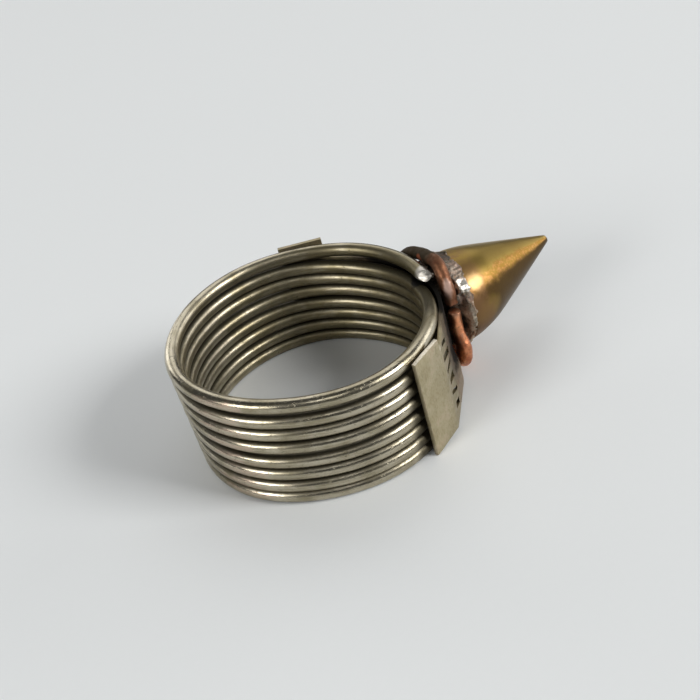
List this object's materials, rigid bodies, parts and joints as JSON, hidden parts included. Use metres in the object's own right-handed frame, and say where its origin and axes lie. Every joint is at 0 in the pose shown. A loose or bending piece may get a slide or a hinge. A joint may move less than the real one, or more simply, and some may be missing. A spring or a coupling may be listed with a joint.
{
  "type": "statement ring",
  "caption": "Finger ring with a coiled wire band, a strap folded over the coil at the head, a copper wire oval and a pointed brass cone that stands out from the head.",
  "frame": {"origin": "middle of the finger hole, on the surface that the ring rests on when it lies on its side", "axes": "+X from the finger hole towards the spike, +Z along the finger hole, upwards as the ring lies"},
  "size_m": [0.0324, 0.0208, 0.0096],
  "materials": {
    "nickel_silver_wire": "drawn wire, worn bright on its outer faces, dark patina between the turns",
    "nickel_silver_sheet": "satin, worn smooth, with fine scratches and stamped strokes",
    "oxidised_copper": "flame reddened copper, bright where rubbed, blackened in the hollows",
    "solder": "lumpy, pitted grey solder with bright silver patches and a copper flush",
    "brass": "turned brass, aged to olive and brown, bright on the side that catches light"
  },
  "bodies": {
    "root": {"coil_band": "nickel_silver_wire", "head_strap": "nickel_silver_sheet", "copper_oval": "oxidised_copper", "solder_collar": "solder", "spike": "brass"}
  },
  "joints": []
}
